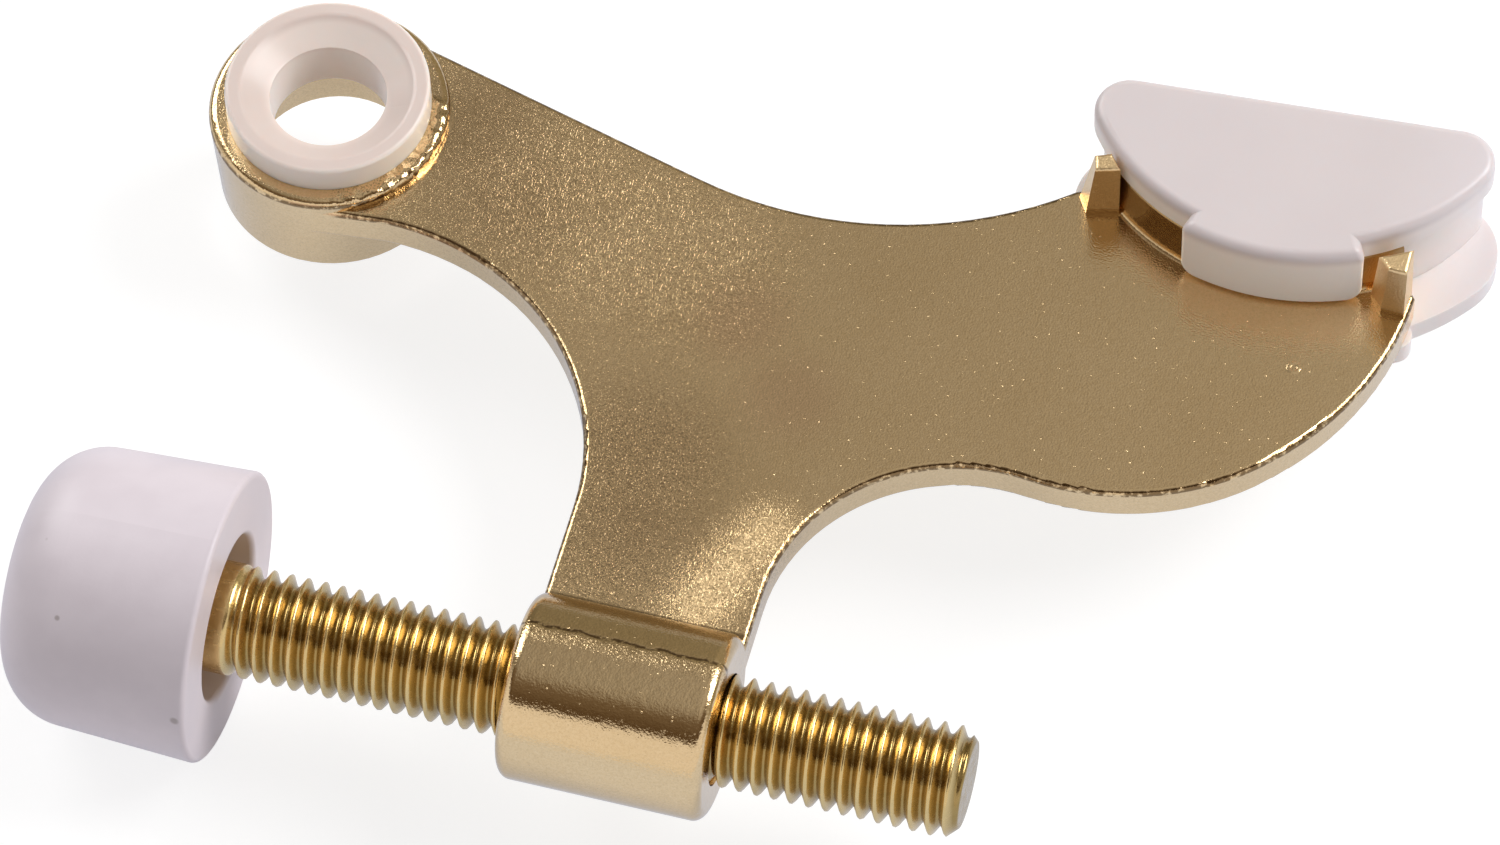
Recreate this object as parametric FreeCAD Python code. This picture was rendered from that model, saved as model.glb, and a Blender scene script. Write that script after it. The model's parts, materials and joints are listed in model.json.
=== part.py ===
import FreeCAD, Part
import math
import os

# Hinge pin door stop. A cast body hangs on the pin of a door hinge. One arm carries a screw with a rubber
# tip that meets the wall, the other a pad that swivels until it lies flat on the door.
# Millimetres. The origin is on the hinge pin's axis at mid thickness of the plate, +Z is up along the pin
# and +X runs along the screw, from the rubber tip to the free end.

# Plate: a flat casting whose outline is straights and arcs that run into each other
PLATE_T = 3.0
PLATE_EDGE_R = 0.4
FAR_ARC_C = (35.6, 29.65)
FAR_ARC_R = 29.55
FAR_SLOPE = 15.3
FAR_RUN = 26.75
FAR_END = 309.5
TIP_ARC_C = (56.06, 4.97)
TIP_ARC_R = 24.13
TIP_ARC_START = -2.4
BELLY_C = (59.47, 1.29)
RIGHT_CROTCH_C = (55.25, -31.55)
LEFT_CROTCH_C = (6.6, -27.9)
LEFT_CROTCH_R = 19.75
EYE_JOIN = (1.0, -8.7)

# Eye on the hinge pin, and the bush pressed into it
EYE_R_TOP = 8.85
EYE_R_LOW = 8.55
EYE_Z_LOW = -5.9
EYE_Z_TOP = 2.5
EYE_TOP_EDGE_R = 0.6
EYE_LOW_EDGE_R = 0.3
EYE_BORE_R = 6.35
BUSH_BORE_R = 4.3
BUSH_Z_LOW = -0.5
BUSH_FLANGE_R = 7.5
BUSH_FLANGE_T = 2.3
BUSH_RIM_R = 0.3
BUSH_DISH_R = 6.4
BUSH_DISH_EDGE_R = 0.6
BUSH_MOUTH_Z = 3.5

# Barrel and screw. The thread is M8 coarse, right-handed, and stops short of the head; its groove starts on the
# screw's +Y side.
SCREW_Y = -42.07
SCREW_R = 4.0
SCREW_END_X = 58.9
SCREW_CHAMFER = 0.9
THREAD_PITCH = 1.25
THREAD_ROOT_R = 3.24
THREAD_CREST_W = 0.14
THREAD_HALF_ANGLE = 30.0
THREAD_START_X = 5.66
GROOVE_PROUD = 0.08
HEAD_R = 7.5
HEAD_T = 3.0
HEAD_SEAT_X = -0.2
BARREL_R = 6.7
BARREL_BORE_R = 4.05
BARREL_EDGE_R = 0.9
BARREL_BLEND_R = 0.6

# Rubber tip
RIM_X = 5.1
RIM_R = 10.55
RIM_EDGE_R = 0.4
TIP_END_X = -9.85
TIP_END_R = 9.85
TIP_EDGE_R = 4.9
MOUTH_R = 6.0
HEAD_GAP = 0.1

# Cradle: a low wall on the plate's upper face, round the pad's turning axis. Its bearings are in degrees
# from -Y towards +X.
CRADLE_C = (68.84, 18.73)
WALL_R_IN = 15.5
WALL_R_FOOT = 16.8
WALL_R_TOP = 16.4
WALL_Z_TOP = 5.1
WALL_FOOT_R = 0.4
WALL_EDGE_R = 0.25
WALL_LEFT = -47.5
WALL_RIGHT = 37.5

# Stop lugs: four-sided drafted posts, corners at the foot and at the top
LUG_Z_TOP = 7.2
LUG_EDGE_R = 0.25
LEFT_LUG_FOOT = [(55.4, 5.05), (57.9, 5.55), (57.45, 7.4), (54.5, 6.3)]
LEFT_LUG_TOP = [(56.15, 5.2), (57.9, 5.75), (56.95, 6.95), (55.85, 6.5)]
RIGHT_LUG_FOOT = [(77.95, 2.0), (79.75, 1.9), (79.95, 4.0), (76.95, 3.2)]
RIGHT_LUG_TOP = [(78.4, 2.15), (79.75, 2.1), (79.75, 4.3), (77.5, 3.1)]

# Swivel pad: a web between two D-shaped flanges, and a tab that hangs outside the wall between the lugs
PAD_FACE_Y = -4.5
PAD_REST_ANGLE = 3.7
WEB_R = 15.38
WEB_CORNER_R = 1.7
TOP_FLANGE_R = 16.5
TOP_FLANGE_CORNER_R = 2.6
TOP_FLANGE_Z = (5.3, 7.7)
TOP_FLANGE_EDGE_R = 0.7
LOW_FLANGE_R = 18.9
LOW_FLANGE_CORNER_R = 4.7
LOW_FLANGE_Z = (-3.9, -1.7)
LOW_FLANGE_EDGE_R = 0.4
LOBE_R = 20.4
LOBE_HALF_ANGLE = 32.5
LOBE_CORNER_R = 1.2
TAB_R_IN = 16.95
TAB_R_OUT = 17.82
TAB_ROOT_R = 15.0
TAB_HALF_ANGLE = 22.0
TAB_Z_LOW = 1.7
TAB_BROW_R = 0.8
TAB_CORNER_R = 1.2
TAB_EDGE_R = 0.4

X_AXIS = FreeCAD.Vector(1, 0, 0)
Z_AXIS = FreeCAD.Vector(0, 0, 1)
ORIGIN = FreeCAD.Vector(0, 0, 0)
SCREW_AXIS = FreeCAD.Vector(0, SCREW_Y, 0)


def vec(x, y, z=0.0):
    return FreeCAD.Vector(x, y, z)


def polar(centre, radius, angle):
    """Point of a circle in plan, at an angle in degrees from +X."""
    turn = math.radians(angle)
    return vec(centre[0] + radius * math.cos(turn), centre[1] + radius * math.sin(turn))


def arc(centre, radius, start, end):
    """Edge along a circle in plan, between two angles in degrees from +X."""
    middle = (start + end) / 2
    points = [polar(centre, radius, angle) for angle in (start, middle, end)]
    return Part.Arc(*points).toShape()


def between(a, b):
    """Distance and direction in degrees from point a to point b in plan."""
    dx = b[0] - a[0]
    dy = b[1] - a[1]
    return math.hypot(dx, dy), math.degrees(math.atan2(dy, dx))


def joined(edges):
    """Face inside a loop of edges, with a straight wherever one edge stops short of the next."""
    loop = []
    for edge, following in zip(edges, edges[1:] + edges[:1]):
        loop.append(edge)
        end = edge.lastVertex().Point
        start = following.firstVertex().Point
        if end.distanceToPoint(start) > 1e-6:
            loop.append(Part.makeLine(end, start))
    return Part.Face(Part.Wire(loop))


def turned(points, axis_point, axis, angle=360.0):
    """Solid swept by a polygon of points round an axis."""
    face = Part.Face(Part.makePolygon(points + points[:1]))
    return face.revolve(axis_point, axis, angle)


def rounded(solid, radius, chosen):
    """The solid with a fillet on every edge that the test accepts."""
    return solid.makeFillet(radius, [edge for edge in solid.Edges if chosen(edge)])


def at_height(z):
    """Test for an edge that lies level at height z."""
    return lambda edge: abs(edge.BoundBox.ZMin - z) < 1e-6 and abs(edge.BoundBox.ZMax - z) < 1e-6


def at_station(x, radius):
    """Test for a circle round the screw's axis, at station x along it."""
    def chosen(edge):
        box = edge.BoundBox
        return abs(box.XMin - x) < 1e-6 and abs(box.XMax - x) < 1e-6 and abs(box.ZMax - radius) < 1e-4
    return chosen


def make_plate():
    tip_to_belly, belly_turn = between(TIP_ARC_C, BELLY_C)
    belly_r = TIP_ARC_R - tip_to_belly
    belly_to_crotch, crotch_turn = between(BELLY_C, RIGHT_CROTCH_C)
    crotch_r = belly_to_crotch - belly_r
    far_tangent = polar(FAR_ARC_C, FAR_ARC_R, 270 - FAR_SLOPE)
    far_start = polar(far_tangent, FAR_RUN, 180 - FAR_SLOPE)
    left_top = LEFT_CROTCH_C[1] + LEFT_CROTCH_R
    neck_left = LEFT_CROTCH_C[0] + LEFT_CROTCH_R
    neck_right = RIGHT_CROTCH_C[0] - crotch_r
    outline = [
        Part.makeLine(far_start, far_tangent),
        arc(FAR_ARC_C, FAR_ARC_R, 270 - FAR_SLOPE, FAR_END),
        arc(CRADLE_C, WALL_R_IN, WALL_LEFT - 90, WALL_RIGHT - 90),
        arc(TIP_ARC_C, TIP_ARC_R, TIP_ARC_START, belly_turn),
        arc(BELLY_C, belly_r, belly_turn, crotch_turn),
        arc(RIGHT_CROTCH_C, crotch_r, crotch_turn + 180, 180),
        Part.makeLine(vec(neck_right, SCREW_Y), vec(neck_left, SCREW_Y)),
        arc(LEFT_CROTCH_C, LEFT_CROTCH_R, 0, 90),
        Part.makeLine(vec(LEFT_CROTCH_C[0], left_top), vec(*EYE_JOIN)),
    ]
    plate = joined(outline).extrude(Z_AXIS * PLATE_T)
    plate.translate(Z_AXIS * (-PLATE_T / 2))

    def outer_edge(edge):
        level = at_height(PLATE_T / 2)(edge) or at_height(-PLATE_T / 2)(edge)
        middle = edge.valueAt((edge.FirstParameter + edge.LastParameter) / 2)
        in_eye = middle.x < far_start.x
        in_barrel = abs(middle.y - SCREW_Y) < 1e-6
        return level and not in_eye and not in_barrel

    return rounded(plate, PLATE_EDGE_R, outer_edge), neck_left, neck_right


def make_barrel(left, right):
    barrel = Part.makeCylinder(BARREL_R, right - left, vec(left, SCREW_Y), X_AXIS)
    barrel = rounded(barrel, BARREL_EDGE_R, lambda edge: edge.Closed)
    # hollow blend in the crease between the barrel and either face of the plate
    blend_z = PLATE_T / 2 + BARREL_BLEND_R
    blend_y = math.sqrt((BARREL_R + BARREL_BLEND_R) ** 2 - blend_z ** 2)
    centre = vec(left + BARREL_EDGE_R, SCREW_Y + blend_y, blend_z)
    to_barrel = vec(0, -blend_y, -blend_z).normalize()
    on_plate = centre - Z_AXIS * BARREL_BLEND_R
    on_barrel = centre + to_barrel * BARREL_BLEND_R
    halfway = centre + (to_barrel - Z_AXIS).normalize() * BARREL_BLEND_R
    section = joined([
        Part.Arc(on_plate, halfway, on_barrel).toShape(),
        Part.makeLine(vec(centre.x, on_barrel.y), vec(centre.x, on_plate.y)),
    ])
    upper = section.extrude(X_AXIS * (right - left - 2 * BARREL_EDGE_R))
    lower = upper.mirror(ORIGIN, Z_AXIS)
    return barrel, upper, lower


def make_eye():
    eye = Part.makeCone(EYE_R_LOW, EYE_R_TOP, EYE_Z_TOP - EYE_Z_LOW, vec(0, 0, EYE_Z_LOW))
    eye = rounded(eye, EYE_TOP_EDGE_R, at_height(EYE_Z_TOP))
    return rounded(eye, EYE_LOW_EDGE_R, at_height(EYE_Z_LOW))


def make_wall():
    foot_z = PLATE_T / 2
    foot_r = WALL_R_FOOT + WALL_FOOT_R
    hollow = WALL_FOOT_R * (1 - math.sqrt(0.5))
    below_top = WALL_Z_TOP - WALL_EDGE_R
    section = joined([
        Part.makeLine(vec(WALL_R_IN, 0, 0), vec(foot_r, 0, 0)),
        Part.Arc(
            vec(foot_r, 0, foot_z),
            vec(WALL_R_FOOT + hollow, 0, foot_z + hollow),
            vec(WALL_R_FOOT, 0, foot_z + WALL_FOOT_R),
        ).toShape(),
        Part.makeLine(vec(WALL_R_TOP, 0, below_top), vec(WALL_R_TOP - WALL_EDGE_R, 0, WALL_Z_TOP)),
        Part.makeLine(vec(WALL_R_IN + WALL_EDGE_R, 0, WALL_Z_TOP), vec(WALL_R_IN, 0, below_top)),
    ])
    wall = section.revolve(ORIGIN, Z_AXIS, WALL_RIGHT - WALL_LEFT)
    wall.rotate(ORIGIN, Z_AXIS, WALL_LEFT - 90)
    wall.translate(vec(*CRADLE_C))
    return wall


def make_lug(foot, top):
    rings = []
    for corners, z in ((foot, 0.0), (top, LUG_Z_TOP)):
        points = [vec(x, y, z) for x, y in corners]
        rings.append(Part.makePolygon(points + points[:1]))
    lug = Part.makeLoft(rings, True, True)
    return rounded(lug, LUG_EDGE_R, at_height(LUG_Z_TOP))


def make_body():
    plate, neck_left, neck_right = make_plate()
    pieces = [make_eye(), make_wall()]
    pieces.extend(make_barrel(neck_left, neck_right))
    pieces.append(make_lug(LEFT_LUG_FOOT, LEFT_LUG_TOP))
    pieces.append(make_lug(RIGHT_LUG_FOOT, RIGHT_LUG_TOP))
    body = plate.multiFuse(pieces).removeSplitter()
    pin_bore = Part.makeCylinder(EYE_BORE_R, EYE_Z_TOP - EYE_Z_LOW, vec(0, 0, EYE_Z_LOW))
    screw_bore = Part.makeCylinder(BARREL_BORE_R, neck_right - neck_left, vec(neck_left, SCREW_Y), X_AXIS)
    return body.cut(pin_bore).cut(screw_bore)


def make_bush():
    top = EYE_Z_TOP + BUSH_FLANGE_T
    bush = turned([
        vec(BUSH_BORE_R, 0, BUSH_Z_LOW),
        vec(EYE_BORE_R, 0, BUSH_Z_LOW),
        vec(EYE_BORE_R, 0, EYE_Z_TOP),
        vec(BUSH_FLANGE_R, 0, EYE_Z_TOP),
        vec(BUSH_FLANGE_R, 0, top),
        vec(BUSH_DISH_R, 0, top),
        vec(BUSH_BORE_R, 0, BUSH_MOUTH_Z),
    ], ORIGIN, Z_AXIS)
    middle_r = (BUSH_FLANGE_R + BUSH_DISH_R) / 2
    bush = rounded(bush, BUSH_RIM_R, lambda e: at_height(top)(e) and e.BoundBox.XMax > middle_r)
    return rounded(bush, BUSH_DISH_EDGE_R, lambda e: at_height(top)(e) and e.BoundBox.XMax < middle_r)


def make_groove():
    """Groove of the thread: a V with a flat bottom that winds along the screw and out past its free end."""
    turns = math.ceil((SCREW_END_X - THREAD_START_X) / THREAD_PITCH) + 1
    spread = math.tan(math.radians(THREAD_HALF_ANGLE))
    half_mouth = (THREAD_PITCH - THREAD_CREST_W) / 2
    half_root = half_mouth - (SCREW_R - THREAD_ROOT_R) * spread
    half_proud = half_mouth + GROOVE_PROUD * spread
    proud_r = SCREW_R + GROOVE_PROUD
    corners = [
        vec(THREAD_ROOT_R, 0, -half_root),
        vec(proud_r, 0, -half_proud),
        vec(proud_r, 0, half_proud),
        vec(THREAD_ROOT_R, 0, half_root),
    ]
    section = Part.makePolygon(corners + corners[:1])
    path = Part.makeLongHelix(THREAD_PITCH, turns * THREAD_PITCH, SCREW_R)
    groove = Part.Wire(path.Edges).makePipeShell([section], True, True)
    # a third of a turn about the diagonal lays the helix from Z over to X
    groove.rotate(ORIGIN, vec(1, 1, 1), 120)
    groove.translate(vec(THREAD_START_X, SCREW_Y))
    return groove


def make_screw():
    head = Part.makeCylinder(HEAD_R, HEAD_T, vec(HEAD_SEAT_X - HEAD_T, SCREW_Y), X_AXIS)
    shank = Part.makeCylinder(SCREW_R, SCREW_END_X - HEAD_SEAT_X, vec(HEAD_SEAT_X, SCREW_Y), X_AXIS)
    screw = head.fuse(shank).removeSplitter()
    free_end = [edge for edge in screw.Edges if at_station(SCREW_END_X, SCREW_R)(edge)]
    screw = screw.makeChamfer(SCREW_CHAMFER, free_end)
    return screw.cut(make_groove()).Solids[0]


def make_tip():
    pocket_x = HEAD_SEAT_X + HEAD_GAP
    floor_x = HEAD_SEAT_X - HEAD_T - HEAD_GAP
    profile = [
        (TIP_END_X, 0),
        (TIP_END_X, TIP_END_R),
        (RIM_X, RIM_R),
        (RIM_X, MOUTH_R),
        (pocket_x, MOUTH_R),
        (pocket_x, HEAD_R + HEAD_GAP),
        (floor_x, HEAD_R + HEAD_GAP),
        (floor_x, 0),
    ]
    tip = turned([vec(x, SCREW_Y, r) for x, r in profile], SCREW_AXIS, X_AXIS)
    tip = rounded(tip, TIP_EDGE_R, at_station(TIP_END_X, TIP_END_R))
    tip = rounded(tip, RIM_EDGE_R, at_station(RIM_X, RIM_R))
    return rounded(tip, RIM_EDGE_R, at_station(RIM_X, MOUTH_R))


def make_flange(radius, corner_r, z_low, z_high):
    """D-shaped slab: the part of a disc in front of the pad's flat face, with rounded corners."""
    height = z_high - z_low
    disc = Part.makeCylinder(radius, height, vec(0, 0, z_low))
    front = Part.makeBox(2 * radius, radius, height, vec(-radius, PAD_FACE_Y - radius, z_low))
    slab = disc.common(front)
    return rounded(slab, corner_r, lambda edge: edge.BoundBox.ZLength > height / 2)


def fan(profile, half_angle):
    """Solid swept by a profile of (radius, height) points to both sides of the pad's own -Y axis."""
    swept = turned([vec(r, 0, z) for r, z in profile], ORIGIN, Z_AXIS, 2 * half_angle)
    swept.rotate(ORIGIN, Z_AXIS, -90 - half_angle)
    return swept


def make_lobe():
    low, high = LOW_FLANGE_Z
    lobe = fan([(TAB_ROOT_R, low), (LOBE_R, low), (LOBE_R, high), (TAB_ROOT_R, high)], LOBE_HALF_ANGLE)

    def outer_corner(edge):
        point = edge.firstVertex().Point
        return edge.BoundBox.ZLength > (high - low) / 2 and math.hypot(point.x, point.y) > LOW_FLANGE_R

    lobe = rounded(lobe, LOBE_CORNER_R, outer_corner)
    return rounded(lobe, LOW_FLANGE_EDGE_R, lambda e: at_height(low)(e) and e.BoundBox.YMin < -LOW_FLANGE_R)


def make_tab():
    flange_low, flange_top = TOP_FLANGE_Z
    profile = [
        (TAB_ROOT_R, flange_low),
        (TAB_R_IN, flange_low),
        (TAB_R_IN, TAB_Z_LOW),
        (TAB_R_OUT, TAB_Z_LOW),
        (TAB_R_OUT, flange_top),
        (TAB_ROOT_R, flange_top),
    ]
    tab = fan(profile, TAB_HALF_ANGLE)
    thickness = TAB_R_OUT - TAB_R_IN
    tab = rounded(tab, TAB_CORNER_R, lambda e: at_height(TAB_Z_LOW)(e) and abs(e.Length - thickness) < 1e-4)

    def outer_edge(edge):
        ends = [math.hypot(v.X, v.Y) for v in edge.Vertexes]
        return min(ends) > TAB_R_OUT - 1e-4 and not at_height(flange_top)(edge)

    tab = rounded(tab, TAB_EDGE_R, outer_edge)
    return rounded(tab, TAB_BROW_R, lambda e: at_height(flange_top)(e) and e.BoundBox.YMin < -TAB_R_IN)


def make_pad():
    web = make_flange(WEB_R, WEB_CORNER_R, LOW_FLANGE_Z[0], TOP_FLANGE_Z[1] - TOP_FLANGE_EDGE_R)
    top = make_flange(TOP_FLANGE_R, TOP_FLANGE_CORNER_R, *TOP_FLANGE_Z)
    top = rounded(top, TOP_FLANGE_EDGE_R, at_height(TOP_FLANGE_Z[1]))
    low = make_flange(LOW_FLANGE_R, LOW_FLANGE_CORNER_R, *LOW_FLANGE_Z)
    low = rounded(low, LOW_FLANGE_EDGE_R, at_height(LOW_FLANGE_Z[0]))
    pad = top.multiFuse([web, low, make_lobe(), make_tab()]).removeSplitter()
    pad.rotate(ORIGIN, Z_AXIS, PAD_REST_ANGLE)
    pad.translate(vec(*CRADLE_C))
    return pad


pieces = {
    "stop_body": make_body(),
    "hinge_bush": make_bush(),
    "adjusting_screw": make_screw(),
    "rubber_tip": make_tip(),
    "swivel_pad": make_pad(),
}

os.makedirs("parts", exist_ok=True)
for name, shape in pieces.items():
    solid = shape.Solids[0]
    solid.exportStep(f"parts/{name}.step")
    box = solid.BoundBox
    print(name, "solids", len(shape.Solids), "valid", solid.isValid(), "volume", round(solid.Volume, 1))
    print("  x", round(box.XMin, 2), round(box.XMax, 2), "y", round(box.YMin, 2), round(box.YMax, 2),
          "z", round(box.ZMin, 2), round(box.ZMax, 2))
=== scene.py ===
# %% [markdown]
# A hinge pin door stop, dressed for its portrait.
#
# The real thing hangs on the hinge pin of a door. A plated casting carries a nylon bush for the pin, a
# swivelling nylon pad that bears on the door, and a screw with a rubber tip that meets the door frame.
# The solids come from the CAD model, already in metres and in place. They could be modelled again here, but
# then two models would have to agree, so the CAD frame is loaded and everything else is fitted to it.

# %% Load the frame
import json
import math

import bpy
from mathutils import Matrix, Vector

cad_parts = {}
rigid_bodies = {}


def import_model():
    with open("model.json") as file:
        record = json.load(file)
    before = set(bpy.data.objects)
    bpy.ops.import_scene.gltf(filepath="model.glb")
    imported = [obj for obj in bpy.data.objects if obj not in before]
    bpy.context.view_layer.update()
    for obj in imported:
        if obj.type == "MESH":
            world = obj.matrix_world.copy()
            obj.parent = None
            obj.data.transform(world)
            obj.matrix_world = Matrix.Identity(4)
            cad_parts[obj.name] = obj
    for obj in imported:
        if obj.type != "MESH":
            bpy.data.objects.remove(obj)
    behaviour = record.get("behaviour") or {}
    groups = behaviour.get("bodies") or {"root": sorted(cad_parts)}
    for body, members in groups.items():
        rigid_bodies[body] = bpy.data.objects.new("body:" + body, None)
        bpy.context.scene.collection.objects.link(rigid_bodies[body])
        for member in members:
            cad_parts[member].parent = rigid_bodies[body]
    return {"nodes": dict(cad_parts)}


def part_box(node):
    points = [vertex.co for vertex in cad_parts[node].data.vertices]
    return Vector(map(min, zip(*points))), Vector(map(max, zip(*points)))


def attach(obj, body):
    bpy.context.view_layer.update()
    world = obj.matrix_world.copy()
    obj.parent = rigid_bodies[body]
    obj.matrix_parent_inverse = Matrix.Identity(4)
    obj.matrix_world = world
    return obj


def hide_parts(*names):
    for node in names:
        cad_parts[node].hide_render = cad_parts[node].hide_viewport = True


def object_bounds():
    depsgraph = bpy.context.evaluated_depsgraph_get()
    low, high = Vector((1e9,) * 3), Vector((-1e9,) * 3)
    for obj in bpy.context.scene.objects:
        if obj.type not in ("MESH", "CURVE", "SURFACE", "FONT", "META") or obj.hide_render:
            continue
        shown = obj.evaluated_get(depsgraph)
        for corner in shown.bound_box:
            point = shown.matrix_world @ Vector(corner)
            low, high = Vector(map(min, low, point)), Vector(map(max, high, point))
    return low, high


for leftover in list(bpy.data.objects):
    bpy.data.objects.remove(leftover)
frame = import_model()
nodes = frame["nodes"]
cad_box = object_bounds()
print("loaded", ", ".join(sorted(nodes)))

MM = 0.001

# %% [markdown]
# The camera stands where the photographer stood.
#
# A camera can be aimed with a Track To constraint, but a constraint always keeps the horizon level, and this
# picture was taken with the camera rolled by two degrees. Building the camera's matrix from its three axes
# gives the roll directly. The long lens keeps the near end of the screw from swelling.

# %% The camera
CAMERA_TARGET = Vector((0.036435, -0.017256, 0.0))
CAMERA_DISTANCE = 0.5829
CAMERA_AZIMUTH = math.radians(17.075)
CAMERA_ELEVATION = math.radians(58.179)
CAMERA_ROLL = math.radians(-2.241)
CAMERA_LENS_MM = 195.84

back = Vector((math.sin(CAMERA_AZIMUTH) * math.cos(CAMERA_ELEVATION),
               -math.cos(CAMERA_AZIMUTH) * math.cos(CAMERA_ELEVATION),
               math.sin(CAMERA_ELEVATION)))
level = Vector((math.cos(CAMERA_AZIMUTH), math.sin(CAMERA_AZIMUTH), 0.0))
upright = back.cross(level)
right = math.cos(CAMERA_ROLL) * level + math.sin(CAMERA_ROLL) * upright
up = back.cross(right)

lens = bpy.data.cameras.new("portrait_lens")
lens.sensor_width = 36.0
lens.sensor_fit = "HORIZONTAL"
lens.lens = CAMERA_LENS_MM
lens.clip_start = 0.01
lens.clip_end = 20.0
camera = bpy.data.objects.new("portrait_camera", lens)
camera.matrix_world = (Matrix.Translation(CAMERA_TARGET + back * CAMERA_DISTANCE)
                       @ Matrix((right, up, back)).transposed().to_4x4())
bpy.context.scene.collection.objects.link(camera)
bpy.context.scene.camera = camera
bpy.context.scene.view_settings.view_transform = "Standard"
print("camera at", [round(v, 3) for v in camera.matrix_world.translation])

# %% [markdown]
# Node trees make the light, the finishes and the thread.
#
# Every tree in this lesson is built from the same few moves: add a node, set its options, and plug numbers or
# other nodes into its sockets. Doing that longhand takes four lines a node, so one small helper does it in
# one. Two more give the answer of a Math node and of a Map Range node, which the trees use most.

# %% Helpers that add nodes
def add(tree, kind, inputs=None, **options):
    """Adds a node, sets its options, and fills its sockets with values or with other nodes' outputs."""
    node = tree.nodes.new(kind)
    for name, value in options.items():
        setattr(node, name, value)
    for name, value in (inputs or {}).items():
        socket = node.inputs[name]
        if isinstance(value, bpy.types.NodeSocket):
            tree.links.new(value, socket)
        else:
            socket.default_value = value
    return node


def sums(tree, operation, *values, clamp=False):
    """One Math node's answer."""
    node = add(tree, "ShaderNodeMath", dict(enumerate(values)), operation=operation, use_clamp=clamp)
    return node.outputs[0]


def ramp(tree, value, start, end, low=0.0, high=1.0, smooth=True):
    """A value carried from start..end to low..high, eased at both ends unless smooth is off."""
    return add(tree, "ShaderNodeMapRange",
               {"Value": value, "From Min": start, "From Max": end, "To Min": low, "To Max": high},
               interpolation_type="SMOOTHSTEP" if smooth else "LINEAR").outputs["Result"]


print("helpers ready")

# %% [markdown]
# Polished metal has no look of its own: it shows the room.
#
# The bands on the barrel say what the room was like. White paper lies under and in front of the part, the
# ceiling is mid grey, and the camera with the person behind it is a dark patch high in front. A picture of a
# studio could be wrapped round the scene, but a few ramps on the direction of view give the same bands in
# nodes, with edges that can be moved one at a time. Mirrors and the camera see the bands as they are. What
# falls on the rubber and the nylon is mostly an even grey, so that the lamps, not the bands, shade them.

# %% The room round the part
PAPER_FRONT = (0.81, 0.80, 0.82)
SHADE_LOW = (0.092, 0.060, 0.032)
SHADE_HIGH = (0.16, 0.122, 0.084)
BACK_WALL = (0.272, 0.246, 0.184)
CEILING = (0.395, 0.376, 0.350)
EVEN_GREY = (0.27, 0.265, 0.27)
EVENNESS = 0.65
FRONT_EDGE = (0.20, -0.40)
OVERHEAD_EDGE = (0.86, 0.98)
WALL_EDGE = (0.45, 0.93)
SIDE_EDGE, SIDE_TONES = (-0.23, -0.07), (0.70, 1.13)
SHADE_EDGE = (0.62, 0.88)
PAPER_EDGE = (0.565, 0.60)


def blended(tree, factor, first, second):
    """A colour between two, by factor; each is three numbers or a node's output."""
    ends = [end if isinstance(end, bpy.types.NodeSocket) else (*end, 1.0) for end in (first, second)]
    node = add(tree, "ShaderNodeMix", {"Factor": factor}, data_type="RGBA")
    for socket, end in zip([s for s in node.inputs if s.type == "RGBA"], ends):
        if isinstance(end, bpy.types.NodeSocket):
            tree.links.new(end, socket)
        else:
            socket.default_value = end
    return next(s for s in node.outputs if s.type == "RGBA")


world = bpy.data.worlds.new("studio_room")
bpy.context.scene.world = world
world.use_nodes = True
room = world.node_tree
room.nodes.clear()
look = add(room, "ShaderNodeTexCoord").outputs["Generated"]
axes = add(room, "ShaderNodeSeparateXYZ", {"Vector": look}).outputs
# A little more than 1, so that straight up the division below is not by zero.
level_part = sums(room, "SQRT", sums(room, "SUBTRACT", 1.0001, sums(room, "MULTIPLY", axes["Z"], axes["Z"])))
in_front = ramp(room, sums(room, "DIVIDE", axes["Y"], level_part), *FRONT_EDGE)
overhead = ramp(room, axes["Z"], *OVERHEAD_EDGE)
wall = blended(room, ramp(room, axes["Z"], *WALL_EDGE), BACK_WALL, CEILING)
side = ramp(room, axes["X"], *SIDE_EDGE, *SIDE_TONES, smooth=False)
shade = blended(room, ramp(room, axes["Z"], *SHADE_EDGE), SHADE_LOW, SHADE_HIGH)
ahead = blended(room, ramp(room, axes["Z"], *PAPER_EDGE), PAPER_FRONT, shade)
behind = add(room, "ShaderNodeVectorMath", {0: wall, "Scale": side}, operation="SCALE").outputs["Vector"]
facing = sums(room, "MULTIPLY", in_front, sums(room, "SUBTRACT", 1.0, overhead))
mirrored = blended(room, facing, behind, ahead)
falls_softly = sums(room, "MULTIPLY", add(room, "ShaderNodeLightPath").outputs["Is Diffuse Ray"], EVENNESS)
background = add(room, "ShaderNodeBackground", {"Color": blended(room, falls_softly, mirrored, EVEN_GREY)})
room.links.new(background.outputs[0], add(room, "ShaderNodeOutputWorld").inputs["Surface"])
print("room with", len(room.nodes), "nodes")

# %% [markdown]
# A white sheet under the part.
#
# The floor could be white paint under strong light, but then the part would be overlit too. Instead the paper
# is a pale grey that glows for the camera and for reflections, so it reads as white and still keeps the shadow.
# Mirrored, the sheet is brightest in front and fades out behind, as the bands on the barrel and the eye show.
# It lies just under the rubber tip, the lowest thing on the part.

# %% The paper floor
FLOOR_GAP = 0.15 * MM
FLOOR_HALF = 3.0
PAPER_SEEN = (0.30, 0.30, 0.30)
PAPER_BOUNCE = (0.86, 0.85, 0.85)
GLOW_SEEN = (0.80, 0.80, 0.80)
GLOW_NEAR = (0.42, 0.475, 0.60)
GLOW_FRONT = (0.61, 0.595, 0.585)
GLOW_BACK = (0.06, 0.05, 0.03)
FRONT_FADE = (-0.06, -0.45)
BACK_FADE = (0.05, 0.20)

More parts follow.
